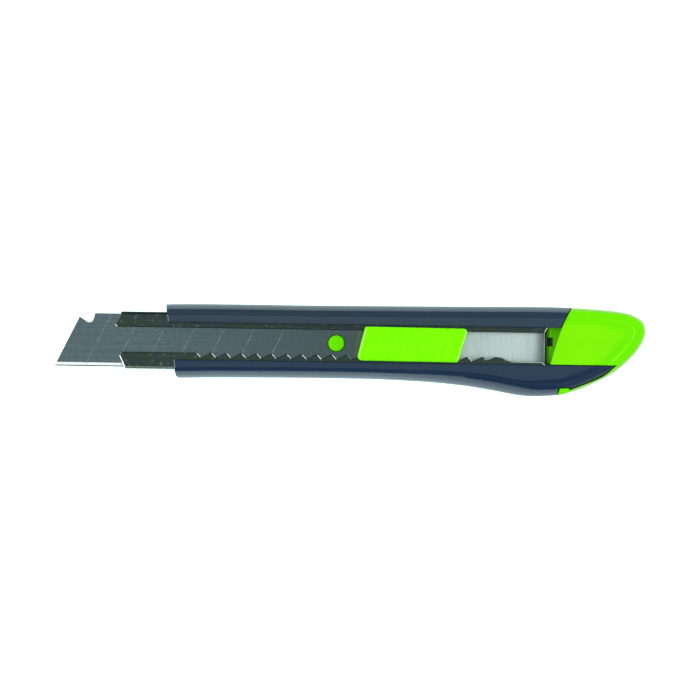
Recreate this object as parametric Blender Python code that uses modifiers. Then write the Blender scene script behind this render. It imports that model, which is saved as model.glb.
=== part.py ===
"""Snap-off knife for 18 mm segmented blades, lying on its flat back.

X runs along the knife with the blade's tip at -X, Y runs across it with the cutting edge at -Y,
and Z points out of the side with the thumb slider. The origin lies on the flat back, under the
centreline of the blade channel. MM turns millimetres into metres. Outlines are lists of (x, y)
points in millimetres; every other length is in metres.
"""

import math

import bmesh
import bpy

MM = 0.001
FIT = 0.3 * MM

# How far cutters reach past the knife
UNDER = -1.0 * MM
OVER = 20.0 * MM
FRONT_END = -110.0
REAR_END = 130.0
SPINE_SIDE = 20.0
EDGE_SIDE = -22.0

# Handle
HANDLE_DEPTH = 12.0 * MM
EDGE_ROUND = 1.8 * MM
ROUND_SEGMENTS = 4
TOP_EDGE = [(80.0, 13.45), (40.0, 13.1), (-10.0, 12.7), (-68.0, 12.3)]
BELLY_FRONT = [
    (-68.0, -12.4), (-45.0, -12.2), (-20.0, -11.95), (4.0, -11.95), (14.0, -12.15), (24.0, -12.55)
]
BELLY_REAR = [
    (32.0, -13.1), (40.0, -13.9), (48.0, -15.1), (56.5, -16.6), (61.0, -16.95), (65.5, -16.85),
    (70.2, -16.1),
]
TONGUE = [(74.4, -14.6), (78.5, -13.0), (82.5, -11.35), (86.2, -9.45), (89.8, -6.5), (94.0, -2.0)]
NOSE_TOP = [(-75.0, 16.0), (-62.7, 16.0), (-62.4, 12.0), (-61.7, 6.1), (-59.6, -6.6)]
NOSE_LOW = [(-59.1, -10.4), (-58.7, -11.6), (-57.8, -12.4), (-56.0, -14.0), (-75.0, -14.0)]
LUG_NOTCH = [(70.0, -18.0), (70.8, -13.85), (74.4, -13.7), (75.2, -15.2), (75.6, -18.0)]
SLOT_HALF_WIDTH = 6.35 * MM
POCKET_HALF_WIDTH = 10.05 * MM
POCKET_FLOOR = 4.2 * MM
POCKET_CEILING = 9.2 * MM
POCKET_END = 68.2 * MM
TONGUE_UNDERSIDE = 6.0 * MM

# Joint between handle and end cap
TONGUE_JOINT_Y = -6.35
FRONT_SEAM = [
    (78.6, SPINE_SIDE), (74.4, 13.1), (72.7, 10.1), (71.1, 6.5), (69.2, 0.9), (67.2, TONGUE_JOINT_Y)
]
BACK_SEAM = [(76.0, SPINE_SIDE), (69.3, EDGE_SIDE)]

# End cap
CAP_TOP = [(66.0, 13.4), (76.4, 13.15), (84.5, 12.7)]
CAP_TAIL = [(92.3, 11.9), (96.0, 10.8), (98.9, 8.9), (99.95, 6.2), (99.4, 2.8), (97.1, -1.1), (93.6, -5.0)]
CAP_BELLY = [(89.0, -8.8), (84.0, -11.6), (77.0, -14.7), (71.5, -16.3), (66.0, -17.0)]
CAP_LUG = [(70.5, -16.3), (71.15, -14.2), (74.05, -14.05), (74.7, -15.1)]
LUG_Z = (2.0 * MM, 11.1 * MM)
PLUG_X = (67.2 * MM, 80.0 * MM)
PLUG_NOSE_X = 66.3 * MM
SNAP_SLIT_HEIGHT = 1.1 * MM
SNAP_SLIT_HALF_WIDTH = 10.5 * MM
SNAP_SLIT_END = 73.5 * MM
WINDOW_X = (66.6 * MM, 68.6 * MM)
WINDOW_Y = (0.05 * MM, 3.05 * MM)

# Blade channel
CHANNEL_HALF_WIDTH = 9.75 * MM
CHANNEL_Z = (4.5 * MM, 8.9 * MM)
CHANNEL_REAR = 66.9
BACK_WALL_REAR = 66.0
REAR_NOTCH_HALF_WIDTH = 6.35 * MM
SHEET = 0.45 * MM
FOLD_RADIUS = 0.5 * MM
CHANNEL_NOSE = [
    (-77.6, 11.0), (-77.7, 9.0), (-79.7, 5.3), (-78.9, 4.3), (-77.4, -4.1), (-78.1, -5.2), (-75.4, -11.0),
]
LIP_FRONT = -90.0
UPPER_LIP_Y = 4.55
LOWER_LIP_Y = -4.0
REAR_LIP_Y = -5.4
REAR_FLARE = [(66.2, -6.4), (70.0, -6.4), (70.0, 6.35), (66.8, 6.35), (65.7, UPPER_LIP_Y)]
FIRST_TOOTH_X = -52.0
NOTCH_PITCH = 5.1
NOTCH_COUNT = 19
NOTCH_SHAPE = [(0.2, -3.95), (1.5, -5.25), (2.1, -5.25), (4.6, -3.95)]
LAST_NOTCH = [(0.2, -3.95), (1.3, -4.9), (2.4, -4.9), (3.7, -4.0)]
REAR_SWELL = [(49.5, -3.85), (51.5, -4.1), (54.5, REAR_LIP_Y)]

# Blade
BLADE_TIP_X = -100.0
BLADE_HALF_WIDTH = 9.0
BLADE_Z = 7.65 * MM
BLADE_THICKNESS = 0.5 * MM
BLADE_LEAN = 0.493
SPINE_CORNER_Y = 7.8
SPINE_NOTCH = [(-88.8, 5.95), (-87.7, 6.1), (-87.05, 6.9), (-86.5, BLADE_HALF_WIDTH)]
BLADE_TAIL = [(2.9, BLADE_HALF_WIDTH), (0.4, -BLADE_HALF_WIDTH)]
GROUND_WIDTH = 1.15 * MM
EDGE_LAND = 0.06 * MM
SEGMENT_PITCH = 10.15
FIRST_SCORE_X = -90.6
SCORE_COUNT = 7
SCORE_DEPTH = 0.12 * MM
SCORE_WIDTH = 0.3

# Carrier plate and pin moulding
PIN_X = -4.7 * MM
PIN_RADIUS = 2.72 * MM
PIN_TOP = 8.8 * MM
PIN_CHAMFER = 0.2 * MM
PLATE_Z = (6.75 * MM, 7.35 * MM)
PLATE_CORNERS = [(-9.0, 8.4, 1.5), (36.0, 8.4, 1.0), (36.0, -8.4, 1.0), (-9.0, -8.4, 1.5)]
BLOCK_Z = (5.25 * MM, 6.45 * MM)
BLOCK_CORNERS = [(-9.6, 6.4, 2.0), (4.0, 6.4, 2.0), (4.0, -6.4, 2.0), (-9.6, -6.4, 2.0)]

# Lock spring: an arm along the lower lip, a pad at its root and an upright tab in a notch
ARM_OUTLINE = [
    (15.3, -3.5), (16.45, -3.5), (16.65, -5.15, 0.3), (28.5, -5.15), (30.5, -4.2, 0.5), (35.6, -4.2, 0.8),
    (35.6, -7.2, 0.8), (30.5, -7.2, 0.5), (28.5, -6.05), (15.3, -6.05, 0.4),
]
TAB_OUTLINE = [(15.35, -3.5), (16.4, -3.5), (16.15, -4.8), (15.75, -4.8)]

# Thumb slider
SLIDER_Z = (9.2 * MM, 14.6 * MM)
SLIDER_CORNERS = [(5.0, 5.8, 0.8), (39.95, 5.55, 1.3), (36.45, -5.85, 0.8), (2.1, -5.65, 1.5)]
SLIDER_ROUND = 0.7 * MM
STEM_X = (21.0 * MM, 32.0 * MM)
STEM_Y = (-1.5 * MM, 3.7 * MM)
FOOT_OVERHANG = 2.0 * MM
BUTTON_TRAVEL = 1.2 * MM
DOT_ROWS = 5
DOT_COLUMNS = 10
DOT_PITCH = (3.05 * MM, 1.9 * MM)
FIRST_DOT = (5.0 * MM, -3.9 * MM)
DOT_LEAN = 0.25
DOT_RADII = (0.75 * MM, 0.35 * MM)
DOT_HEIGHT = 0.2 * MM
DOT_SIDES = 10


def clear_scene():
    for old in list(bpy.data.objects):
        bpy.data.objects.remove(old, do_unlink=True)


def new_collection(name):
    collection = bpy.data.collections.new(name)
    bpy.context.scene.collection.children.link(collection)
    return collection


def plastic_or_metal(name, color, roughness, metallic):
    material = bpy.data.materials.new(name)
    material.use_nodes = True
    shader = material.node_tree.nodes["Principled BSDF"]
    shader.inputs["Base Color"].default_value = (*color, 1.0)
    shader.inputs["Roughness"].default_value = roughness
    shader.inputs["Metallic"].default_value = metallic
    return material


def smooth_path(points, steps=4):
    """A curve through all the points, ends included, with steps pieces between two of them."""
    padded = [points[0]] + list(points) + [points[-1]]
    path = []
    for before, start, end, after in zip(padded, padded[1:], padded[2:], padded[3:]):
        for step in range(steps):
            t = step / steps
            path.append(tuple(
                b + 0.5 * t * ((c - a) + (2 * a - 5 * b + 4 * c - d) * t + (3 * b - a - 3 * c + d) * t**2)
                for a, b, c, d in zip(before, start, end, after)
            ))
    path.append(tuple(points[-1]))
    return path


def rounded(corners, steps=4):
    """A closed outline whose (x, y, radius) corners are arcs; (x, y) corners stay sharp."""
    outline = []
    count = len(corners)
    for index, corner in enumerate(corners):
        radius = corner[2] if len(corner) == 3 else 0.0
        if radius == 0.0:
            outline.append(corner[:2])
            continue
        x, y = corner[:2]
        back = (corners[index - 1][0] - x, corners[index - 1][1] - y)
        ahead = (corners[(index + 1) % count][0] - x, corners[(index + 1) % count][1] - y)
        back = (back[0] / math.hypot(*back), back[1] / math.hypot(*back))
        ahead = (ahead[0] / math.hypot(*ahead), ahead[1] / math.hypot(*ahead))
        half_angle = 0.5 * math.acos(back[0] * ahead[0] + back[1] * ahead[1])
        bisector = (back[0] + ahead[0], back[1] + ahead[1])
        reach = radius / math.sin(half_angle) / math.hypot(*bisector)
        centre = (x + bisector[0] * reach, y + bisector[1] * reach)
        cut_back = radius / math.tan(half_angle)
        first = math.atan2(y + back[1] * cut_back - centre[1], x + back[0] * cut_back - centre[0])
        last = math.atan2(y + ahead[1] * cut_back - centre[1], x + ahead[0] * cut_back - centre[0])
        sweep = math.remainder(last - first, math.tau)
        for step in range(steps + 1):
            angle = first + sweep * step / steps
            outline.append((centre[0] + radius * math.cos(angle), centre[1] + radius * math.sin(angle)))
    return outline


def add_to(collection, name, mesh):
    piece = bpy.data.objects.new(name, mesh)
    collection.objects.link(piece)
    return piece


def prism(collection, name, outline, z_low, z_high):
    """A flat outline, filled and extruded from z_low to z_high."""
    curve = bpy.data.curves.new(name, "CURVE")
    curve.dimensions = "2D"
    curve.fill_mode = "BOTH"
    curve.extrude = (z_high - z_low) / 2
    spline = curve.splines.new("POLY")
    spline.points.add(len(outline) - 1)
    for point, (x, y) in zip(spline.points, outline):
        point.co = (x * MM, y * MM, 0.0, 1.0)
    spline.use_cyclic_u = True
    guide = add_to(collection, name + "_outline", curve)
    evaluated = guide.evaluated_get(bpy.context.evaluated_depsgraph_get())
    mesh = bpy.data.meshes.new_from_object(evaluated)
    bpy.data.objects.remove(guide, do_unlink=True)
    work = bmesh.new()
    work.from_mesh(mesh)
    bmesh.ops.remove_doubles(work, verts=work.verts, dist=0.001 * MM)
    bmesh.ops.dissolve_limit(work, angle_limit=math.radians(0.5), verts=work.verts, edges=work.edges)
    bmesh.ops.translate(work, verts=work.verts, vec=(0.0, 0.0, (z_low + z_high) / 2))
    bmesh.ops.recalc_face_normals(work, faces=work.faces)
    work.to_mesh(mesh)
    work.free()
    return add_to(collection, name, mesh)


def block(collection, name, low, high):
    """A box between two corners."""
    mesh = bpy.data.meshes.new(name)
    work = bmesh.new()
    bmesh.ops.create_cube(work, size=1.0)
    for vertex in work.verts:
        vertex.co = [a + (c + 0.5) * (b - a) for a, b, c in zip(low, high, vertex.co)]
    work.to_mesh(mesh)
    work.free()
    return add_to(collection, name, mesh)


def add_cone(work, x, y, radii, z_low, z_high, segments):
    made = bmesh.ops.create_cone(
        work, cap_ends=True, segments=segments, radius1=radii[0], radius2=radii[1], depth=z_high - z_low
    )
    bmesh.ops.translate(work, verts=made["verts"], vec=(x, y, (z_low + z_high) / 2))


def cylinder(collection, name, x, y, radius, z_low, z_high, segments=48):
    mesh = bpy.data.meshes.new(name)
    work = bmesh.new()
    add_cone(work, x, y, (radius, radius), z_low, z_high, segments)
    work.to_mesh(mesh)
    work.free()
    return add_to(collection, name, mesh)


def bevel(piece, width, segments=2, angle=50.0):
    modifier = piece.modifiers.new("Rounded edges", "BEVEL")
    modifier.width = width
    modifier.segments = segments
    modifier.limit_method = "ANGLE"
    modifier.angle_limit = math.radians(angle)
    modifier.use_clamp_overlap = False
    return piece


def combine(piece, other, operation):
    modifier = piece.modifiers.new(other.name, "BOOLEAN")
    modifier.operation = operation
    modifier.object = other
    modifier.solver = "EXACT"


def cut(piece, *others):
    for other in others:
        combine(piece, other, "DIFFERENCE")


def join(piece, *others):
    for other in others:
        combine(piece, other, "UNION")


def finish(piece, material, smooth_below=35.0):
    piece.data.materials.append(material)
    piece.data.shade_smooth()
    piece.data.set_sharp_from_angle(angle=math.radians(smooth_below))


def beside(seam, far_x, shift=0.0):
    """The outline of everything between a seam, moved by shift millimetres, and far_x."""
    line = [(x + shift, y) for x, y in smooth_path(seam, steps=2)]
    return line + [(far_x, line[-1][1]), (far_x, line[0][1])]


def handle_body(parts, helpers, navy):
    outline = smooth_path(BELLY_FRONT + BELLY_REAR + TONGUE, steps=3) + TOP_EDGE
    body = prism(parts, "handle_body", outline, 0.0, HANDLE_DEPTH)
    bevel(body, EDGE_ROUND, ROUND_SEGMENTS)
    nose = prism(helpers, "handle_nose", NOSE_TOP + NOSE_LOW, UNDER, OVER)
    lug_notch = prism(helpers, "lug_notch", LUG_NOTCH, UNDER, OVER)
    front, rear = FRONT_END * MM, REAR_END * MM
    side = POCKET_HALF_WIDTH
    channel_pocket = block(
        helpers, "channel_pocket", (front, -side, POCKET_FLOOR), (POCKET_END, side, POCKET_CEILING)
    )
    plug_pocket = block(
        helpers, "plug_pocket", (0.0, TONGUE_JOINT_Y * MM, POCKET_FLOOR), (rear, side, POCKET_CEILING)
    )
    rail_slot = block(
        helpers, "rail_slot", (front, -SLOT_HALF_WIDTH, POCKET_FLOOR + MM), (rear, SLOT_HALF_WIDTH, OVER)
    )
    under_tongue = prism(helpers, "under_tongue", beside(BACK_SEAM, REAR_END), UNDER, TONGUE_UNDERSIDE)
    panel_room = prism(helpers, "panel_room", beside(FRONT_SEAM, REAR_END), TONGUE_UNDERSIDE - MM, OVER)
    cut(body, nose, under_tongue, panel_room, lug_notch, channel_pocket, plug_pocket, rail_slot)
    finish(body, navy)


def end_cap(parts, helpers, green):
    outline = CAP_TOP + smooth_path(CAP_TAIL + CAP_BELLY)
    cap = prism(parts, "end_cap", outline, 0.0, HANDLE_DEPTH)
    bevel(cap, EDGE_ROUND, ROUND_SEGMENTS)
    gap = FIT / MM
    joint = TONGUE_JOINT_Y + gap
    tongue_room = block(
        helpers, "tongue_room",
        (0.0, EDGE_SIDE * MM, TONGUE_UNDERSIDE - FIT), (REAR_END * MM, joint * MM, OVER),
    )
    back = beside(BACK_SEAM, 0.0, shift=gap)
    front = beside(FRONT_SEAM, 0.0, shift=gap)
    body_room_back = prism(helpers, "body_room_back", back, UNDER, TONGUE_UNDERSIDE + FIT)
    body_room_front = prism(helpers, "body_room_front", front, TONGUE_UNDERSIDE, OVER)
    lug = prism(helpers, "cap_lug", CAP_LUG, *LUG_Z)
    bevel(lug, FIT)
    plug = block(
        helpers,
        "cap_plug",
        (PLUG_X[0], joint * MM, CHANNEL_Z[0]),
        (PLUG_X[1], CHANNEL_HALF_WIDTH, CHANNEL_Z[1]),
    )
    plug_nose = block(
        helpers,
        "plug_nose",
        (PLUG_NOSE_X, joint * MM, CHANNEL_Z[0]),
        (PLUG_X[1], -joint * MM, CHANNEL_Z[1] - SHEET - FIT),
    )
    middle = sum(CHANNEL_Z) / 2
    slit = block(
        helpers,
        "snapper_slit",
        (0.0, -SNAP_SLIT_HALF_WIDTH, middle - SNAP_SLIT_HEIGHT / 2),
        (SNAP_SLIT_END, SNAP_SLIT_HALF_WIDTH, middle + SNAP_SLIT_HEIGHT / 2),
    )
    window = block(
        helpers, "plug_window",
        (WINDOW_X[0], WINDOW_Y[0], middle), (WINDOW_X[1], WINDOW_Y[1], POCKET_CEILING),
    )
    cut(cap, tongue_room, body_room_back, body_room_front)
    join(cap, plug, plug_nose, lug)
    cut(cap, slit, window)
    finish(cap, green)


def lip_opening():
    """The gap between the two folded lips, with the lock's notches along its lower edge."""
    lower = [(LIP_FRONT, LOWER_LIP_Y), (FIRST_TOOTH_X, LOWER_LIP_Y)]
    for notch in range(NOTCH_COUNT):
        lower += [(FIRST_TOOTH_X + NOTCH_PITCH * notch + x, y) for x, y in NOTCH_SHAPE]
    lower += [(FIRST_TOOTH_X + NOTCH_PITCH * NOTCH_COUNT + x, y) for x, y in LAST_NOTCH]
    lower += smooth_path(REAR_SWELL, steps=3)
    return lower + [(65.0, REAR_LIP_Y)] + REAR_FLARE + [(LIP_FRONT, UPPER_LIP_Y)]


def blade_channel(parts, helpers, steel):
    low, high = CHANNEL_Z
    half = CHANNEL_HALF_WIDTH
    channel = block(parts, "blade_channel", (LIP_FRONT * MM, -half, low), (CHANNEL_REAR * MM, half, high))
    bevel(channel, FOLD_RADIUS, 3)
    inner = half - SHEET
    hollow = block(
        helpers,
        "channel_hollow",
        (FRONT_END * MM, -inner, low + SHEET),
        (REAR_END * MM, inner, high - SHEET),
    )
    opening = prism(helpers, "lip_opening", lip_opening(), high - 2 * SHEET, OVER)
    nose_outline = CHANNEL_NOSE + [(FRONT_END, -11.0), (FRONT_END, 11.0)]
    nose = prism(helpers, "channel_nose", nose_outline, UNDER, OVER)
    rear_notch = block(
        helpers,
        "rear_notch",
        (BACK_WALL_REAR * MM, -REAR_NOTCH_HALF_WIDTH, UNDER),
        (REAR_END * MM, REAR_NOTCH_HALF_WIDTH, low + 2 * SHEET),
    )
    cut(channel, hollow, opening, nose, rear_notch)
    finish(channel, steel, 30.0)


def blade(parts, helpers, steel):
    half = BLADE_HALF_WIDTH
    spine_corner = (BLADE_TIP_X + BLADE_LEAN * (half + SPINE_CORNER_Y), SPINE_CORNER_Y)
    outline = [(BLADE_TIP_X, -half), spine_corner] + SPINE_NOTCH + BLADE_TAIL
    top = BLADE_Z + BLADE_THICKNESS
    strip = prism(parts, "blade", outline, BLADE_Z, top)
    slope = (BLADE_THICKNESS - EDGE_LAND) / 2 / GROUND_WIDTH
    for name, side in (("grind_back", -1), ("grind_front", 1)):
        low = (FRONT_END * MM, -3 * MM, min(0.0, side * MM))
        high = (20 * MM, 5 * MM, max(0.0, side * MM))
        wedge = block(helpers, name, low, high)
        wedge.location = (0.0, -half * MM, BLADE_Z + BLADE_THICKNESS / 2 + side * EDGE_LAND / 2)
        wedge.rotation_euler.x = side * math.atan(slope)
        cut(strip, wedge)
    lean = BLADE_LEAN * (2 * half + 2)
    for score in range(SCORE_COUNT):
        x = FIRST_SCORE_X + SEGMENT_PITCH * score
        groove = [(x, -half - 1), (x + SCORE_WIDTH, -half - 1)]
        groove += [(x + SCORE_WIDTH + lean, half + 1), (x + lean, half + 1)]
        cut(strip, prism(helpers, "score_%d" % (score + 1), groove, top - SCORE_DEPTH, OVER))
    cut(strip, cylinder(helpers, "blade_hole", PIN_X, 0.0, PIN_RADIUS + FIT, UNDER, OVER))
    finish(strip, steel, 2.0)


def carrier_plate(parts, helpers, steel):
    plate = prism(parts, "carrier_plate", rounded(PLATE_CORNERS), *PLATE_Z)
    play = BUTTON_TRAVEL + FIT
    stem_slot = block(
        helpers,
        "stem_slot",
        (STEM_X[0] - play, STEM_Y[0] - FIT, UNDER),
        (STEM_X[1] + play, STEM_Y[1] + FIT, OVER),
    )
    pin_hole = cylinder(helpers, "plate_hole", PIN_X, 0.0, PIN_RADIUS + FIT, UNDER, OVER)
    cut(plate, stem_slot, pin_hole)
    finish(plate, steel, 30.0)


def blade_pin(parts, helpers, green):
    """The green moulding under the plate, whose round pin stands up through the blade's hole."""
    moulding = prism(parts, "blade_pin", rounded(BLOCK_CORNERS), *BLOCK_Z)
    pin = cylinder(helpers, "pin", PIN_X, 0.0, PIN_RADIUS, BLOCK_Z[0] + PIN_CHAMFER, PIN_TOP)
    bevel(pin, PIN_CHAMFER)
    join(moulding, pin)
    finish(moulding, green)


def lock_spring(parts, helpers, steel):
    """A flat steel arm on the plate with a tab at its free end that stands in a notch of the lip."""
    arm = prism(parts, "lock_spring", rounded(ARM_OUTLINE, steps=3), BLADE_Z, BLADE_Z + BLADE_THICKNESS)
    tab = prism(helpers, "lock_tab", TAB_OUTLINE, BLADE_Z + BLADE_THICKNESS / 5, CHANNEL_Z[1])
    join(arm, tab)
    finish(arm, steel, 30.0)


def grip_dots(helpers):
    """Low raised dots in rows that follow the slider's slant."""
    mesh = bpy.data.meshes.new("grip_dots")
    work = bmesh.new()
    top = SLIDER_Z[1]
    for row in range(DOT_ROWS):
        rise = DOT_PITCH[1] * row
        for column in range(DOT_COLUMNS):
            x = FIRST_DOT[0] + DOT_LEAN * rise + DOT_PITCH[0] * column
            add_cone(work, x, FIRST_DOT[1] + rise, DOT_RADII, top - DOT_HEIGHT, top + DOT_HEIGHT, DOT_SIDES)
    work.to_mesh(mesh)
    work.free()
    return add_to(helpers, "grip_dots", mesh)


def thumb_slider(parts, helpers, green):
    slider = prism(parts, "thumb_slider", rounded(SLIDER_CORNERS, steps=5), *SLIDER_Z)
    bevel(slider, SLIDER_ROUND, 3)
    stem = block(
        helpers,
        "slider_stem",
        (STEM_X[0], STEM_Y[0], BLOCK_Z[0]),
        (STEM_X[1], STEM_Y[1], SLIDER_Z[0] + SLIDER_ROUND),
    )
    foot = block(
        helpers,
        "slider_foot",
        (STEM_X[0], STEM_Y[0] - FOOT_OVERHANG, BLOCK_Z[0]),
        (STEM_X[1], STEM_Y[1] + FOOT_OVERHANG, BLOCK_Z[1]),
    )
    join(slider, stem, foot, grip_dots(helpers))
    finish(slider, green)


def main():
    clear_scene()
    parts = new_collection("snap_off_knife")
    helpers = new_collection("cutters")
    navy = plastic_or_metal("navy_plastic", (0.032, 0.055, 0.093), 0.25, 0.0)
    lime = plastic_or_metal("lime_plastic", (0.22, 0.90, 0.005), 0.35, 0.0)
    sheet_steel = plastic_or_metal("sheet_steel", (0.55, 0.58, 0.56), 0.25, 1.0)
    blade_steel = plastic_or_metal("blade_steel", (0.30, 0.34, 0.35), 0.35, 1.0)
    spring_steel = plastic_or_metal("spring_steel", (0.40, 0.42, 0.42), 0.3, 1.0)
    handle_body(parts, helpers, navy)
    end_cap(parts, helpers, lime)
    blade_channel(parts, helpers, sheet_steel)
    blade(parts, helpers, blade_steel)
    carrier_plate(parts, helpers, sheet_steel)
    blade_pin(parts, helpers, lime)
    lock_spring(parts, helpers, spring_steel)
    thumb_slider(parts, helpers, lime)
    for helper in helpers.objects:
        helper.hide_render = True
        helper.display_type = "WIRE"


main()
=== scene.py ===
"""Snap-off knife, lying on its flat back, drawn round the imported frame. Lengths are in metres."""

import math

import bmesh
import bpy
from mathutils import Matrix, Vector


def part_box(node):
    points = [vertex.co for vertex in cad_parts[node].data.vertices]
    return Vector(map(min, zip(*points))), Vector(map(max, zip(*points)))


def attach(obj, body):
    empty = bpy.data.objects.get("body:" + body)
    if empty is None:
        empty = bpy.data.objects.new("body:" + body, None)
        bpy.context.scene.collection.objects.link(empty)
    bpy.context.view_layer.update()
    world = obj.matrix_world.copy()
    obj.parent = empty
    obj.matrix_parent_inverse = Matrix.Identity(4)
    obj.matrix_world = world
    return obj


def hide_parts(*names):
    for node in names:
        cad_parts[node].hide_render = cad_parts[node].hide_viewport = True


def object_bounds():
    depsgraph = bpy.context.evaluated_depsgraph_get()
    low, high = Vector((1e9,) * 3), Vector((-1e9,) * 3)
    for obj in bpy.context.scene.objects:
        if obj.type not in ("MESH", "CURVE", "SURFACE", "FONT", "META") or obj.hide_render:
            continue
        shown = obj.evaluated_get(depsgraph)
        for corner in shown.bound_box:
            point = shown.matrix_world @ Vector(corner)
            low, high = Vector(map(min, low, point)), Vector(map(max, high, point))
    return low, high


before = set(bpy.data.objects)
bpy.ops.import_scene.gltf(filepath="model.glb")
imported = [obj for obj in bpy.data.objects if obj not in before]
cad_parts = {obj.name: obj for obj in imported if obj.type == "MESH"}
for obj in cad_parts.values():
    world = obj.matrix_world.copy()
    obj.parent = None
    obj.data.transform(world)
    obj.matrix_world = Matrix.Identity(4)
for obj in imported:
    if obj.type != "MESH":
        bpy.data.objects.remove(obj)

MM = 0.001
CAD_LOW, CAD_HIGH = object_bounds()

# Places beyond the knife, or beyond the channel's nose, where the cutters start and end, in millimetres
UNDER, OVER = -1.0, 20.0
FRONT_END, BEFORE_NOSE, REAR_END = -110.0, -90.0, 130.0
EDGE_SIDE, SPINE_SIDE = -22.0, 20.0

# The handle's level top, the play round the channel and the cap, and where the seam between front and back
# parts of the cap's joint lies, in millimetres
TOP = 12.0
FIT = 0.3
SEAM_LEVEL = 6.0

# The tilt of the small slopes that catch the light
HIGHLIGHT_TILT = math.radians(27.0)

# The pin that stands in the blade's hole, in millimetres
PIN_X, PIN_RADIUS, HOLE_RADIUS = -4.7, 2.72, 3.02

# Outlines, in millimetres in the frame's X and Y.
# Handle and end cap share one outer outline; it runs on past the handle's nose, where it is cut off.
BODY = [
    (-66.0, -12.4), (-45.0, -12.2), (-20.0, -11.95), (4.0, -11.95), (14.0, -12.15), (24.0, -12.55),
    (32.0, -13.1), (40.0, -13.9), (48.0, -15.1), (56.5, -16.6), (61.0, -16.95), (65.5, -16.85),
    (71.5, -16.3), (77.0, -14.7), (84.0, -11.6), (89.0, -8.8), (93.6, -5.0), (97.1, -1.1), (99.4, 2.8),
    (99.95, 6.2), (98.9, 8.9), (96.0, 10.8), (92.3, 11.9), (84.5, 12.7), (76.4, 13.15), (66.0, 13.35),
    (40.0, 13.1), (-10.0, 12.7), (-66.0, 12.3), (-76.0, 10.5), (-80.0, 4.0), (-80.0, -4.0), (-76.0, -10.3),
]
NOSE = [
    (-90.0, 16.0), (-62.7, 16.0), (-62.4, 12.0), (-61.7, 6.1), (-59.6, -6.6), (-59.1, -10.4), (-58.8, -11.8),
    (-58.6, -12.1), (-58.2, -12.35), (-56.0, -12.9), (-56.0, -14.0), (-90.0, -14.0),
]
TONGUE_JOINT_Y = -6.35
TONGUE_EDGE = [(72.6, -15.4), (74.4, -14.6), (78.5, -13.0), (82.5, -11.35), (86.2, -9.45), (90.2, -6.0)]
LUG_NOTCH = [(70.0, -18.0), (70.8, -13.85), (74.4, -13.7), (75.2, -15.2), (75.6, -18.0)]
CAP_LUG = [(70.5, -16.3), (71.15, -14.2), (74.05, -14.05), (74.7, -15.1)]
FRONT_SEAM = [
    (78.6, SPINE_SIDE), (74.4, 13.1), (72.7, 10.1), (71.1, 6.5), (69.2, 0.9), (67.2, TONGUE_JOINT_Y),
]
BACK_SEAM = [(76.0, SPINE_SIDE), (69.3, EDGE_SIDE)]

# The middle line that the moulded edge's inner bands face
SPINE = ((-60.0, 0.3), (86.0, 2.0))

# The moulded edge at places along the knife, in millimetres and degrees: width of the steep outer band, its
# slope at the outer and inner side, width and slope of the gentle band, width of the crease's inner side,
# height and width of the rise to the level middle. Each row starts with its place along X.
EDGE_FIELDS = ("steep", "outer", "inner", "gentle", "tilt", "crease", "height", "rise")
UPPER_RAIL = (1.75, 70.0, 50.0, 1.1, 14.5, 0.05, 0.35, 1.05)
LOWER_RAIL = (2.3, 73.0, 52.0, 0.7, 13.5, 0.05, 0.35, 0.6)
HANDLE_UPPER = [(-70.0, UPPER_RAIL), (100.0, UPPER_RAIL)]
HANDLE_LOWER = [
    (-70.0, LOWER_RAIL),
    (10.0, LOWER_RAIL),
    (55.0, (3.4, 70.0, 41.0, 0.9, 14.0, 0.05, 0.40, 0.9)),
    (66.0, (2.6, 69.0, 40.0, 1.3, 13.0, 0.15, 0.55, 1.6)),
    (76.0, (1.9, 72.0, 50.0, 0.8, 10.0, 0.40, 0.80, 3.0)),
    (100.0, (1.9, 72.0, 50.0, 0.8, 10.0, 0.40, 0.90, 3.0)),
]
CAP_TAIL = (0.9, 76.0, 50.0, 2.9, 8.0, 0.70, 1.0, 6.0)
CAP_UPPER = [
    (60.0, (0.9, 76.0, 50.0, 1.9, 8.0, 0.10, 0.9, 3.4)),
    (85.0, (0.9, 76.0, 50.0, 2.0, 8.0, 0.15, 0.9, 4.2)),
    (96.0, (0.9, 76.0, 50.0, 2.6, 8.0, 0.65, 1.0, 5.5)),
    (100.0, CAP_TAIL),
]
CAP_LOWER = [
    (60.0, (0.9, 76.0, 50.0, 1.8, 8.0, 0.25, 0.9, 3.0)),
    (80.0, (0.9, 76.0, 50.0, 1.8, 8.0, 0.25, 0.9, 4.5)),
    (90.0, (0.9, 76.0, 50.0, 2.2, 8.0, 0.65, 1.0, 5.5)),
    (100.0, CAP_TAIL),
]


def curve_through(points, steps, closed=False):
    """A smooth path through all the points; an open one keeps its ends."""
    points = [Vector(p) for p in points]
    ahead = points[1:] + [points[0] if closed else points[-1]]
    behind = [points[-1] if closed else points[0]] + points[:-1]
    slopes = [(c - a) / ((c - b).length + (b - a).length) for a, b, c in zip(behind, points, ahead)]
    path = []
    spans = len(points) if closed else len(points) - 1
    for index in range(spans):
        start, end = points[index], points[(index + 1) % len(points)]
        reach = (end - start).length
        leave, arrive = slopes[index] * reach, slopes[(index + 1) % len(points)] * reach
        for step in range(steps):
            t = step / steps
            place = (2 * t**3 - 3 * t**2 + 1) * start + (t**3 - 2 * t**2 + t) * leave
            path.append(tuple(place + (3 * t**2 - 2 * t**3) * end + (t**3 - t**2) * arrive))
    return path if closed else path + [tuple(points[-1])]


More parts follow.
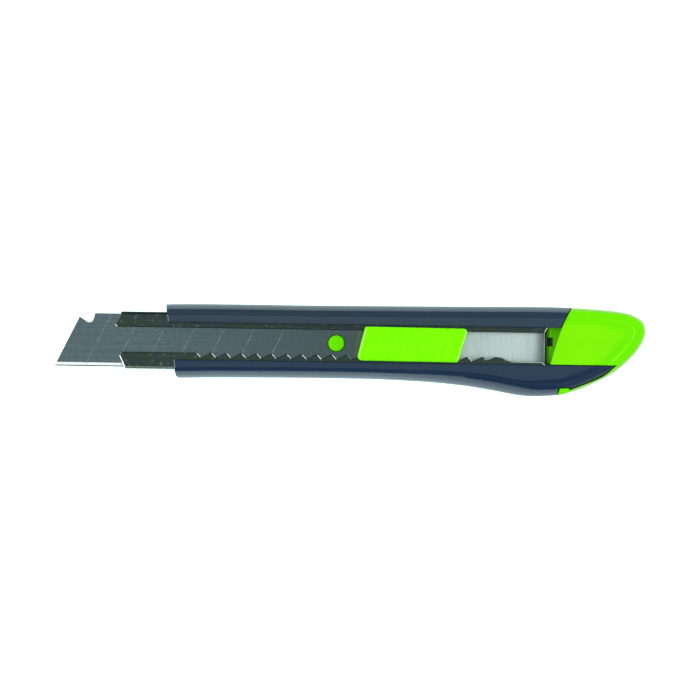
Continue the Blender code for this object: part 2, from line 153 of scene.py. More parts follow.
def rounded(corners, steps=8):
    """A closed outline whose (x, y, radius) corners are arcs."""
    outline = []
    count = len(corners)
    for index, (x, y, radius) in enumerate(corners):
        back = Vector(corners[index - 1][:2]) - Vector((x, y))
        ahead = Vector(corners[(index + 1) % count][:2]) - Vector((x, y))
        back.normalize()
        ahead.normalize()
        half_angle = 0.5 * back.angle(ahead)
        centre = Vector((x, y)) + (back + ahead).normalized() * (radius / math.sin(half_angle))
        cut_back = radius / math.tan(half_angle)
        start = Vector((x, y)) + back * cut_back - centre
        end = Vector((x, y)) + ahead * cut_back - centre
        first = math.atan2(start.y, start.x)
        sweep = math.remainder(math.atan2(end.y, end.x) - first, math.tau)
        for step in range(steps + 1):
            angle = first + sweep * step / steps
            outline.append((centre.x + radius * math.cos(angle), centre.y + radius * math.sin(angle)))
    return outline


def circle(x, y, radius, sides=72):
    angles = [math.tau * k / sides for k in range(sides)]
    return [(x + radius * math.cos(angle), y + radius * math.sin(angle)) for angle in angles]


def even(outline, spacing):
    """A closed outline cut into nearly equal steps, its corner points kept."""
    path = []
    for (x0, y0), (x1, y1) in zip(outline, outline[1:] + outline[:1]):
        steps = max(1, round(math.hypot(x1 - x0, y1 - y0) / spacing))
        path += [(x0 + (x1 - x0) * k / steps, y0 + (y1 - y0) * k / steps) for k in range(steps)]
    return path


def interpolate(table, x):
    """The row of numbers at x, eased between the table's rows."""
    for (x0, row0), (x1, row1) in zip(table, table[1:]):
        if x <= x1:
            t = min(1.0, max(0.0, (x - x0) / (x1 - x0)))
            return [a + (b - a) * t * t * (3 - 2 * t) for a, b in zip(row0, row1)]
    return table[-1][1]


def signed_area(outline):
    return 0.5 * sum(a[0] * b[1] - b[0] * a[1] for a, b in zip(outline, outline[1:] + outline[:1]))


def turn_radii(outline, span=2):
    """The radius of the bend round each point of an anticlockwise outline; hollows count as straight."""
    straight = 1e6
    radii = []
    count = len(outline)
    for index in range(count):
        a, b, c = (Vector(outline[(index + k) % count]) for k in (-span, 0, span))
        area = (b - a).cross(c - a)
        sides = (b - a).length * (c - b).length * (c - a).length
        radii.append(sides / (2 * area) if area > 1.0 / straight else straight)
    return [min(radii[(index + k) % count] for k in (-1, 0, 1)) for index in range(count)]


def within(inset, radius):
    """An inset held back smoothly so that it never reaches the centre of a tight bend."""
    free, room = 0.5 * radius, 0.38 * radius
    return inset if inset <= free else free + room * (1 - math.exp((free - inset) / room))


def inward_normals(outline):
    """The mitred inward direction at each point of an anticlockwise outline."""
    found = []
    count = len(outline)
    for index in range(count):
        here = Vector(outline[index])
        before = (here - Vector(outline[index - 1])).normalized()
        after = (Vector(outline[(index + 1) % count]) - here).normalized()
        left = Vector((-before.y, before.x)) + Vector((-after.y, after.x))
        left.normalize()
        left /= max(0.5, left.dot(Vector((-before.y, before.x))))
        found.append(left)
    return found


def new_piece(name, work):
    mesh = bpy.data.meshes.new(name)
    bmesh.ops.recalc_face_normals(work, faces=work.faces)
    work.to_mesh(mesh)
    work.free()
    piece = bpy.data.objects.new(name, mesh)
    bpy.context.scene.collection.objects.link(piece)
    return piece


def add_stack(work, rings):
    """Adds a closed body through rings of (x, y, z) points, in millimetres, with flat ends."""
    loops = [[work.verts.new((x * MM, y * MM, z * MM)) for x, y, z in ring] for ring in rings]
    count = len(loops[0])
    for low, high in zip(loops, loops[1:]):
        for k in range(count):
            work.faces.new((low[k], low[(k + 1) % count], high[(k + 1) % count], high[k]))
    work.faces.new(list(reversed(loops[0])))
    work.faces.new(loops[-1])


def stack(name, rings):
    work = bmesh.new()
    add_stack(work, rings)
    return new_piece(name, work)


def towards_spine(x, y, run):
    """The point that lies run millimetres from (x, y) on the way to the nearest point of the spine."""
    start, end = Vector(SPINE[0]), Vector(SPINE[1])
    here, along = Vector((x, y)), end - start
    t = min(1.0, max(0.0, (here - start).dot(along) / along.length_squared))
    way = start + along * t - here
    return here + way * min(0.9, run / way.length)


def shell(name, outline, profile, crown=None):
    """A body whose edge follows profile, which gives (inset, z) pairs for a point (x, y) of the outline.

    Where crown is given, its (run, z) pairs go on from the last of those towards the spine.
    """
    if signed_area(outline) < 0:
        outline = list(reversed(outline))
    columns = []
    for (x, y), n, r in zip(outline, inward_normals(outline), turn_radii(outline)):
        column = [(x + n.x * within(inset, r), y + n.y * within(inset, r), z) for inset, z in profile(x, y)]
        edge = column[-1]
        for run, z in crown(x, y) if crown else []:
            column.append((*towards_spine(edge[0], edge[1], run), z))
        columns.append(column)
    return stack(name, list(zip(*columns)))


def prism(name, outline, z_low, z_high):
    if signed_area(outline) < 0:
        outline = list(reversed(outline))
    return stack(name, [[(x, y, z) for x, y in outline] for z in (z_low, z_high)])


def block(name, low, high):
    corners = [(low[0], low[1]), (high[0], low[1]), (high[0], high[1]), (low[0], high[1])]
    return prism(name, corners, low[2], high[2])


def flared(name, outline, z_low, z_edge, width):
    """A cutter that opens out at the height z_edge, so that it leaves a chamfered edge there."""
    drop = 0.8 * width * math.tan(HIGHLIGHT_TILT)
    opening = [
        (0.0, z_low),
        (0.0, z_edge - drop - 0.4 * width),
        (-0.2 * width, z_edge - drop),
        (-1.2 * width, z_edge + 0.25 * drop),
        (-1.2 * width, OVER),
    ]
    return shell(name, outline, lambda x, y: opening)


def settle(piece):
    """Makes the piece's modifiers part of its mesh."""
    bpy.context.view_layer.update()
    evaluated = piece.evaluated_get(bpy.context.evaluated_depsgraph_get())
    mesh = bpy.data.meshes.new_from_object(evaluated)
    piece.modifiers.clear()
    piece.data = mesh


def combine(piece, operation, others):
    """Cuts the others from the piece or joins them to it, and merges the points that then coincide."""
    merge_distance = 0.002 * MM
    for other in others:
        modifier = piece.modifiers.new(other.name, "BOOLEAN")
        modifier.operation = operation
        modifier.object = other
        modifier.solver = "EXACT"
    settle(piece)
    for other in others:
        bpy.data.objects.remove(other, do_unlink=True)
    work = bmesh.new()
    work.from_mesh(piece.data)
    bmesh.ops.remove_doubles(work, verts=work.verts, dist=merge_distance)
    bmesh.ops.dissolve_degenerate(work, edges=work.edges, dist=merge_distance)
    work.to_mesh(piece.data)
    work.free()


def cut(piece, *others):
    combine(piece, "DIFFERENCE", others)


def join(piece, *others):
    combine(piece, "UNION", others)


def shade(piece, angle=32.0):
    piece.data.shade_smooth()
    piece.data.set_sharp_from_angle(angle=math.radians(angle))


def beside(seam, far_x, shift=0.0):
    """The outline of everything between a seam, moved by shift millimetres, and far_x."""
    line = [(x + shift, y) for x, y in curve_through(seam, 4)]
    return line + [(far_x, line[-1][1]), (far_x, line[0][1])]


def paint(piece, looks, names, choose):
    """Gives the piece the named materials; choose says which one a face at a centre, in mm, takes."""
    for name in names:
        piece.data.materials.append(looks[name])
    for face in piece.data.polygons:
        face.material_index = names.index(choose(face.center / MM, face.normal))


def place_piece(piece, body, node):
    """Lets the piece ride on a body and stand for a node of the frame, which it hides."""
    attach(piece, body)
    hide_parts(node)


# ---------------------------------------------------------------- materials


class Look:
    """A Principled material with short ways to add procedural detail in the piece's own coordinates."""

    def __init__(self, name, roughness, metallic=0.0, specular=0.5):
        self.material = bpy.data.materials.new(name)
        self.material.use_nodes = True
        self.tree = self.material.node_tree
        self.shader = self.tree.nodes["Principled BSDF"]
        self.shader.inputs["Roughness"].default_value = roughness
        self.shader.inputs["Metallic"].default_value = metallic
        self.shader.inputs["Specular IOR Level"].default_value = specular
        self.place = self.tree.nodes.new("ShaderNodeTexCoord").outputs["Object"]

    def noise(self, scale, detail=3.0, roughness=0.55, offset=(0.0, 0.0, 0.0)):
        """Noise whose features are 1/scale metres long on each axis."""
        mapping = self.tree.nodes.new("ShaderNodeMapping")
        mapping.inputs["Scale"].default_value = scale
        mapping.inputs["Location"].default_value = offset
        self.tree.links.new(self.place, mapping.inputs["Vector"])
        texture = self.tree.nodes.new("ShaderNodeTexNoise")
        texture.inputs["Scale"].default_value = 1.0
        texture.inputs["Detail"].default_value = detail
        texture.inputs["Roughness"].default_value = roughness
        self.tree.links.new(mapping.outputs["Vector"], texture.inputs["Vector"])
        return texture.outputs["Fac"]

    def spread(self, value, low, high, start=0.3, end=0.7):
        """Turns a value between start and end into a number between low and high."""
        node = self.tree.nodes.new("ShaderNodeMapRange")
        node.inputs["From Min"].default_value = start
        node.inputs["From Max"].default_value = end
        node.inputs["To Min"].default_value = low
        node.inputs["To Max"].default_value = high
        self.tree.links.new(value, node.inputs["Value"])
        return node.outputs["Result"]

    def along(self, axis, start, end):
        """A number that goes from 0 to 1 between two places, in millimetres, on an axis."""
        parts = self.tree.nodes.new("ShaderNodeSeparateXYZ")
        self.tree.links.new(self.place, parts.inputs["Vector"])
        return self.spread(parts.outputs[axis], 0.0, 1.0, start * MM, end * MM)

    def mix(self, factor, first, second):
        """A colour between two colours or colour outputs."""
        node = self.tree.nodes.new("ShaderNodeMix")
        node.data_type = "RGBA"
        factor_in, colors_in, color_out = node.inputs[0], node.inputs[6:8], node.outputs[2]
        for socket, value in zip(colors_in, (first, second)):
            if isinstance(value, tuple):
                socket.default_value = (*value, 1.0)
            else:
                self.tree.links.new(value, socket)
        self.tree.links.new(factor, factor_in)
        return color_out

    def add(self, first, second):
        node = self.tree.nodes.new("ShaderNodeMath")
        node.operation = "ADD"
        for socket, value in zip(node.inputs, (first, second)):
            if isinstance(value, float):
                socket.default_value = value
            else:
                self.tree.links.new(value, socket)
        return node.outputs[0]

    def feed(self, name, value):
        self.tree.links.new(value, self.shader.inputs[name])

    def bump(self, height, depth):
        """Lets a height stand out of the surface by up to depth millimetres."""
        node = self.tree.nodes.new("ShaderNodeBump")
        node.inputs["Strength"].default_value = 1.0
        node.inputs["Distance"].default_value = depth * MM
        self.tree.links.new(height, node.inputs["Height"])
        self.feed("Normal", node.outputs["Normal"])


def moulded_plastic(name, deep, pale, roughness, specular, grain, drift=()):
    """Injection-moulded plastic: faint flow lines, a grain so many millimetres deep and light handling marks.

    drift lists (axis, start, end, colour): the tones that come in between two places along an axis; on the
    lime and the plug they are painted shade.
    """
    look = Look(name, roughness, specular=specular)
    flow = look.noise((25.0, 160.0, 160.0), detail=4.0)
    color = look.mix(look.spread(flow, 0.0, 1.0), deep, pale)
    for axis, start, end, tone in drift:
        color = look.mix(look.along(axis, start, end), color, tone)
    look.feed("Base Color", color)
    scratches = look.noise((90.0, 2400.0, 2400.0), detail=1.0, offset=(3.0, 1.0, 0.0))
    marks = look.spread(scratches, 0.0, 0.1, 0.62, 0.75)
    haze = look.spread(look.noise((55.0, 90.0, 90.0), offset=(7.0, 0.0, 2.0)), -0.05, 0.07)
    look.feed("Roughness", look.add(look.add(marks, haze), roughness))
    look.bump(look.noise((2600.0, 2600.0, 2600.0), detail=2.0), grain)
    return look.material


def brushed_metal(name, dark, light, roughness, along, metallic=1.0, mottle=None, end=None):
    """Steel with fine brush lines along X or Y, uneven shine and a slow change of tone.

    mottle is the colours of patches and of specks; end is (colour, start, end), a tone that comes in along X,
    used for painted shade and a painted dark reflection.
    """
    look = Look(name, roughness, metallic=metallic)
    fine, coarse = (60.0, 9000.0, 900.0), (22.0, 1500.0, 400.0)
    if along == "Y":
        fine, coarse = (9000.0, 60.0, 900.0), (1800.0, 40.0, 400.0)
    lines = look.noise(fine, roughness=0.6)
    bands = look.noise(coarse, detail=2.0, offset=(1.0, 4.0, 0.0))
    grain = look.noise((1300.0, 1300.0, 1300.0), detail=2.0, offset=(0.0, 2.0, 5.0))
    tone = look.add(look.spread(lines, 0.0, 0.35, 0.25, 0.75), look.spread(bands, 0.0, 0.45))
    color = look.mix(look.add(tone, look.spread(grain, 0.0, 0.25)), dark, light)
    if mottle:
        patch_color, speck_color = mottle
        patches = look.noise((170.0, 300.0, 300.0), detail=5.0, roughness=0.75, offset=(2.0, 2.0, 0.0))
        color = look.mix(look.spread(patches, 0.0, 0.85, 0.47, 0.60), color, patch_color)
        specks = look.noise((620.0, 700.0, 700.0), roughness=0.7, offset=(5.0, 1.0, 0.0))
        color = look.mix(look.spread(specks, 0.0, 0.8, 0.58, 0.70), color, speck_color)
    # painted shade: a darker tone comes in along X
    if end:
        shade_tone, shade_start, shade_stop = end
        color = look.mix(look.along("X", shade_start, shade_stop), color, shade_tone)
    look.feed("Base Color", color)
    look.feed("Roughness", look.spread(bands, roughness - 0.06, roughness + 0.08))
    look.bump(lines, 0.004)
    across = look.tree.nodes.new("ShaderNodeCombineXYZ")
    across.inputs["X" if along == "Y" else "Y"].default_value = 1.0
    look.feed("Tangent", across.outputs["Vector"])
    look.shader.inputs["Anisotropic"].default_value = 0.7
    return look.material


def finish_materials():
    """Every finish, by the short name that the pieces ask for."""
    return {
        "navy": moulded_plastic(
            "navy_plastic", (0.018, 0.038, 0.060), (0.024, 0.044, 0.068), 0.20, 0.42, 0.0015,
            drift=(("X", -20.0, 45.0, (0.015, 0.038, 0.068)), ("Y", 6.0, -6.0, (0.006, 0.026, 0.065)))
        ),
        # painted highlight: a lighter navy for the tongue's steep outer band, standing in for reflected light
        "navy_rim_painted_highlight": moulded_plastic(
            "navy_rim_painted_highlight", (0.048, 0.085, 0.100), (0.058, 0.100, 0.115), 0.28, 0.36, 0.001
        ),
        "navy_glint": moulded_plastic("navy_glint", (0.02, 0.05, 0.07), (0.03, 0.06, 0.08), 0.25, 0.9, 0.001),
        # painted shade: the lime darkens below the cap's level top, down its crease and sides
        "lime": moulded_plastic(
            "lime_plastic", (0.215, 0.88, 0.0012), (0.235, 0.91, 0.002), 0.42, 0.03, 0.003,
            drift=(("Z", TOP - 0.05, TOP - 0.75, (0.165, 0.87, 0.0004)),)
        ),
        "lime_glint": moulded_plastic("lime_glint", (0.24, 0.95, 0.005), (0.26, 1.0, 0.009), 0.3, 0.1, 0.001),
        # painted shade: a darker, greyer lime for the cap's steep rim faces
        "lime_rim_painted_shade": moulded_plastic("lime_rim_painted_shade", (0.21, 0.54, 0.001), (0.23, 0.60, 0.002), 0.28, 0.36, 0.002),
        # painted shade: a darker lime for the plug sunk below the cap, darker still towards the edge side and
        # near black at its nose by the channel's end
        "plug_lime_painted_shade": moulded_plastic(
            "plug_lime_painted_shade", (0.10, 0.48, 0.0005), (0.14, 0.66, 0.0008), 0.5, 0.05, 0.003,
            drift=(("Y", -2.0, -7.0, (0.04, 0.20, 0.0005)), ("X", 67.6, 66.3, (0.015, 0.07, 0.0005)))
        ),
        # painted shade: a near-black plastic for the faces inside the plug's window
        "recess_painted_shade": moulded_plastic("plug_recess", (0.05, 0.07, 0.055), (0.08, 0.10, 0.08), 0.7, 0.1, 0.003),
        "slider_lime": moulded_plastic(
            "slider_lime", (0.205, 0.97, 0.0006), (0.225, 1.0, 0.0012), 0.45, 0.02, 0.003
        ),
        "slider_dots": moulded_plastic(
            "slider_dots", (0.225, 1.0, 0.003), (0.255, 1.0, 0.006), 0.55, 0.03, 0.003
        ),
        # painted highlight, with real gloss: a paler, glossier lime for the small slopes that face the
        # slider's ends
        "slider_rim_painted_highlight": moulded_plastic(
            "slider_rim_painted_highlight", (0.30, 0.98, 0.005), (0.34, 1.0, 0.01), 0.26, 0.85, 0.001
        ),
        "pin_lime": moulded_plastic("pin_lime", (0.15, 0.84, 0.0006), (0.18, 0.90, 0.001), 0.45, 0.02, 0.003),
        # painted shade: the blade darkens from its tip towards the rear, inside the handle's rails
        "blade": brushed_metal(
            "blade_steel", (0.075, 0.125, 0.145), (0.24, 0.295, 0.31), 0.34, "X",
            end=((0.060, 0.085, 0.085), -75.0, 60.0)
        ),
        # painted highlight: a near-white, mostly non-metal steel for the blade's ground bevel
        "ground": brushed_metal(
            "ground_edge_painted_highlight", (0.9, 0.95, 0.94), (1.0, 1.0, 1.0), 0.40, "Y", metallic=0.2
        ),
        "cutting_edge": brushed_metal("cutting_edge", (0.05, 0.06, 0.055), (0.09, 0.10, 0.09), 0.4, "X"),
        "score": brushed_metal(
            "score_groove", (0.18, 0.25, 0.25), (0.37, 0.46, 0.45), 0.45, "Y", metallic=0.7
        ),
        # painted shade: a near-black copy of the channel's steel for the lips' outer faces, with mottled
        # patches and specks
        "lip": brushed_metal(
            "lip_steel_painted_shade", (0.014, 0.024, 0.028), (0.075, 0.098, 0.100), 0.18, "X",
            mottle=((0.048, 0.072, 0.038), (0.16, 0.20, 0.19))
        ),
        "lip_glint": brushed_metal("lip_glint", (0.30, 0.36, 0.34), (0.60, 0.68, 0.64), 0.25, "X"),
        # painted shade on the upper fold and painted highlight on the lower fold: a dark and a light copy of
        # the folded steel
        "fold": brushed_metal("fold_steel", (0.015, 0.02, 0.02), (0.05, 0.06, 0.06), 0.22, "X"),
        "low_fold": brushed_metal("low_fold_painted_highlight", (0.20, 0.27, 0.24), (0.55, 0.62, 0.58), 0.22, "X"),
        # painted highlight: a near-white steel for the chamfers round the channel's nose
        "cut_edge_painted_highlight": brushed_metal(
            "cut_edge_steel", (0.75, 0.82, 0.80), (0.95, 1.0, 0.98), 0.22, "X", metallic=0.7
        ),
        # painted highlight: a light steel for the lit notch flanks
        "notch_edge_painted_highlight": brushed_metal(
            "notch_edge_steel", (0.50, 0.57, 0.53), (0.64, 0.72, 0.68), 0.24, "X", metallic=0.7
        ),
        # painted dark reflection: the back wall darkens over its last four millimetres, by the plug
        "wall": brushed_metal(
            "back_wall_steel", (0.40, 0.47, 0.45), (0.58, 0.67, 0.64), 0.36, "Y",
            end=((0.13, 0.17, 0.20), 62.3, 66.3)
        ),
        # painted highlight: a near-white, mostly non-metal steel for the back wall's thin rear end
        "wall_end_painted_highlight": brushed_metal(
            "wall_end_steel", (0.85, 0.92, 0.9), (0.95, 1.0, 0.98), 0.3, "Y", metallic=0.1
        ),
        "plate": brushed_metal("plate_steel", (0.11, 0.15, 0.10), (0.17, 0.21, 0.16), 0.34, "X"),
        "spring": brushed_metal("spring_steel", (0.30, 0.32, 0.32), (0.42, 0.44, 0.44), 0.28, "X"),
    }


# ---------------------------------------------------------------- plastic pieces


def moulded_edge(upper, lower):
    """The profile and the crown of a moulded outer edge, from tables of EDGE_FIELDS for its two sides."""
    steps = 7
    sides_meet_y = 2.0
    rounded_back = [(1.6, 0.0), (1.0, 0.08), (0.5, 0.33), (0.15, 0.8), (0.0, 1.5)]

    def sizes(x, y):
        return dict(zip(EDGE_FIELDS, interpolate(upper if y > sides_meet_y else lower, x)))

    def levels(edge):
        foot = TOP - edge["height"]
        crease_top = foot + edge["crease"] * math.tan(HIGHLIGHT_TILT)
        return foot, crease_top, crease_top - edge["gentle"] * math.tan(math.radians(edge["tilt"]))

    def profile(x, y):
        edge = sizes(x, y)
        _, _, z = levels(edge)
        steep = [(edge["steep"], z)]
        for step in range(steps):
            share = 1.0 - (step + 0.5) / steps
            slope = math.radians(edge["outer"] + (edge["inner"] - edge["outer"]) * share)
            z -= math.tan(slope) * edge["steep"] / steps
            steep.append((edge["steep"] * (1.0 - (step + 1) / steps), z))
        _, back_top = rounded_back[-1]
        return rounded_back + [(0.0, (back_top + z) / 2)] + steep[::-1]

    def crown(x, y):
        edge = sizes(x, y)
        foot, crease_top, _ = levels(edge)
        run = edge["gentle"] + edge["crease"]
        rings = [(edge["gentle"], crease_top), (run, foot)]
        for step in range(1, steps + 1):
            t = step / steps
            rings.append((run + edge["rise"] * t, foot + edge["height"] * t * t * (3 - 2 * t)))
        return rings
    return profile, crown


def body_shell(name, upper, lower):
    profile, crown = moulded_edge(upper, lower)
    return shell(name, even(curve_through(BODY, 6, closed=True), 1.6), profile, crown)


def make_handle(looks):
    body = body_shell("handle_shell", HANDLE_UPPER, HANDLE_LOWER)
    low, high = (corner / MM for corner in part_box("blade_channel"))
    side, floor, ceiling = high.y + FIT, low.z - FIT, high.z + FIT
    joint = TONGUE_JOINT_Y
    rim = curve_through(TONGUE_EDGE, 4)
    rim += [(REAR_END, rim[-1][1]), (REAR_END, EDGE_SIDE), (rim[0][0], EDGE_SIDE)]
    slot = [(FRONT_END, joint), (REAR_END, joint), (REAR_END, -joint), (FRONT_END, -joint)]
    cut(
        body,
        flared("nose_cut", NOSE, UNDER, TOP, 0.4),
        prism("back_seam_cut", beside(BACK_SEAM, REAR_END), UNDER, SEAM_LEVEL),
        prism("front_seam_cut", beside(FRONT_SEAM, REAR_END), SEAM_LEVEL - 1.0, OVER),
        prism("rim_cut", rim, UNDER, OVER),
        prism("lug_cut", LUG_NOTCH, UNDER, OVER),
        block("channel_cut", (FRONT_END, -side, floor), (68.2, side, ceiling)),
        block("plug_cut", (0.0, joint, floor), (REAR_END, side, ceiling)),
        flared("slot_cut", slot, 5.2, TOP, 0.2),
    )
    shade(body)

    def choose(centre, normal):
        # painted highlight: the tongue's steep outer band takes the lighter navy
        if centre.x > 72.0 and centre.y < -5.0 and -0.1 < normal.z < 0.78:
            return "navy_rim_painted_highlight"
        nose_chamfer = centre.x < -58.0 and normal.x < -0.3 and 0.6 < normal.z < 0.98
        return "navy_glint" if nose_chamfer else "navy"

    paint(body, looks, ("navy", "navy_glint", "navy_rim_painted_highlight"), choose)
    place_piece(body, "handle", "handle_body")


def make_cap(looks):
    cap = body_shell("end_cap_shell", CAP_UPPER, CAP_LOWER)
    joint = TONGUE_JOINT_Y + FIT
    low, high = (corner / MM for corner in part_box("blade_channel"))
    middle = (low.z + high.z) / 2
    edge = [(x + 0.04, y - 0.08) for x, y in curve_through(TONGUE_EDGE, 4)]
    edge = [point for point in edge if point[1] < joint] + [(90.6, joint)]
    tongue_room = [(FRONT_END, joint), (FRONT_END, EDGE_SIDE), (edge[0][0], EDGE_SIDE)] + edge
    cut(
        cap,
        prism("tongue_cut", tongue_room, SEAM_LEVEL - FIT, OVER),
        prism("body_back_cut", beside(BACK_SEAM, FRONT_END, shift=0.08), UNDER, SEAM_LEVEL + FIT),
        flared("body_front_cut", beside(FRONT_SEAM, FRONT_END, shift=0.45), SEAM_LEVEL, TOP, 0.25),
    )
    plug_end, slit_half = 80.0, 0.55
    plug = block("plug", (67.2, joint, low.z), (plug_end, high.y, high.z))
    plug_nose = block("plug_nose", (66.3, joint, low.z), (plug_end, -joint, high.z - 0.75))
    join(cap, plug, plug_nose, prism("lug", CAP_LUG, 2.0, 11.1))
    window = Vector((66.6, 0.05)), Vector((68.6, 3.05))
    cut(
        cap,
        block("slit_cut", (0.0, -10.5, middle - slit_half), (73.5, 10.5, middle + slit_half)),
        block("window_cut", (*window[0], low.z + 0.4), (*window[1], high.z + FIT)),
    )
    shade(cap)
    window_centre = (window[0] + window[1]) / 2

    def choose(centre, normal):
        x, y, z = centre
        in_window = abs(x - window_centre.x) < 1.1 and abs(y - window_centre.y) < 1.6
        # painted shade: the window's inner faces take the near-black plastic
        if in_window and z < high.z - 0.85:
            return "recess_painted_shade"
        # painted shade: the plug's faces take the darker lime
        if low.z - 0.1 < z < high.z + 0.05 and x < 74.0 and abs(y) < 9.9:
            return "plug_lime_painted_shade"
        if TOP - 1.2 < z < TOP - 0.6 and 0.8 < normal.z < 0.92:
            return "lime_glint"
        # painted shade: the steep rim faces take the darker lime
        return "lime_rim_painted_shade" if normal.z < 0.75 else "lime"

    paint(cap, looks, ("lime", "lime_glint", "lime_rim_painted_shade", "plug_lime_painted_shade", "recess_painted_shade"), choose)
    place_piece(cap, "cap", "end_cap")


def slider_dots(top):
    """Five rows of ten low domes that follow the slider's slant and flatten out towards its rear."""
    work = bmesh.new()
    sides, radius, height, root = 16, 0.70, 0.19, 0.15
    first_x, first_y, column_step, row_step, slant = 5.0, -3.9, 3.05, 1.9, 0.25
    for row in range(5):
        for column in range(10):
            rise = row_step * row
            x, y = first_x + slant * rise + column_step * column, first_y + rise
            dome_height = height * (1.0 - 0.05 * column)
            levels = [(1.0, -root)]
            for share, lift in ((1.0, 0.05), (0.8, 0.5), (0.5, 0.85), (0.2, 1.0)):
                levels.append((share, lift * dome_height))
            add_stack(work, [
                [(px, py, top + lift) for px, py in circle(x, y, radius * share, sides)]
                for share, lift in levels
            ])
    return new_piece("slider_dots", work)


def make_slider(looks):
    room_for_dots = 0.2
    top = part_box("thumb_slider")[1].z / MM - room_for_dots
    outline = rounded([(5.0, 5.8, 0.8), (39.95, 5.55, 1.3), (36.45, -5.85, 0.8), (2.1, -5.65, 1.5)])
    profile = [
        (0.3, 9.2), (0.08, 9.28), (0.0, 9.5), (0.0, 11.5), (0.0, top - 0.75), (0.05, top - 0.5),
        (0.13, top - 0.32), (0.24, top - 0.2), (0.62, top),
    ]
    slider = shell("thumb_slider_body", even(outline, 1.5), lambda x, y: profile)
    stem_front, stem_rear, foot_z = 21.0, 32.0, 5.25
    stem = block("slider_stem", (stem_front, -1.5, foot_z), (stem_rear, 3.7, 9.9))
    foot = block("slider_foot", (stem_front, -3.5, foot_z), (stem_rear, 5.7, 6.45))
    join(slider, slider_dots(top), stem, foot)
    shade(slider, 20.0)

    def choose(centre, normal):
        if centre.z > top + 0.02:
            return "slider_dots"
        # painted highlight: the upper slopes facing the slider's ends take the paler lime
        facing_end = centre.z > top - 0.3 and abs(normal.x) > 0.25 and 0.6 < normal.z < 0.99
        return "slider_rim_painted_highlight" if facing_end else "slider_lime"

    paint(slider, looks, ("slider_lime", "slider_dots", "slider_rim_painted_highlight"), choose)
    place_piece(slider, "button", "thumb_slider")


def make_pin(looks):
    front, rear, half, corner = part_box("blade_pin")[0].x / MM, 4.0, 6.4, 2.0
    ends = ((front, half), (rear, half), (rear, -half), (front, -half))
    outline = rounded([(x, y, corner) for x, y in ends])
    plate_profile = [(0.25, 5.25), (0.0, 5.5), (0.0, 6.2), (0.25, 6.45)]
    pin_profile = [(0.0, 5.6), (0.0, 8.45), (0.04, 8.62), (0.14, 8.74), (0.3, 8.8), (0.8, 8.8)]
    moulding = shell("pin_moulding", even(outline, 2.0), lambda x, y: plate_profile)
    join(moulding, shell("pin", circle(PIN_X, 0.0, PIN_RADIUS), lambda x, y: pin_profile))
    shade(moulding, 40.0)
    moulding.data.materials.append(looks["pin_lime"])
    place_piece(moulding, "carriage", "blade_pin")


# ---------------------------------------------------------------- steel pieces


def lip_opening():
    """The gap between the two folded lips, with the lock's notches along its lower edge."""
    first_tooth, pitch, notches = -52.0, 5.1, 19
    lower_y, root_y, rear_y, upper_y = -3.95, -5.3, -5.4, 4.55
    lower = [(BEFORE_NOSE, lower_y), (first_tooth, lower_y)]
    for notch in range(notches):
        peak = first_tooth + pitch * notch
        lower += [(peak + x, y) for x, y in ((0.2, lower_y), (1.5, root_y), (2.1, root_y), (4.6, lower_y))]
    peak = first_tooth + pitch * notches
    lower += [(peak + x, y) for x, y in ((0.2, lower_y), (1.3, -4.9), (2.4, -4.9), (3.7, -4.0))]
    lower += curve_through([(49.3, -3.85), (51.3, -4.1), (54.3, rear_y)], 4)
    lower_rear = [(65.1, rear_y), (66.2, -6.4), (70.0, -6.4)]
    upper = [(70.0, 6.35), (66.8, 6.35), (65.7, upper_y), (BEFORE_NOSE, upper_y)]
    return lower + lower_rear + upper


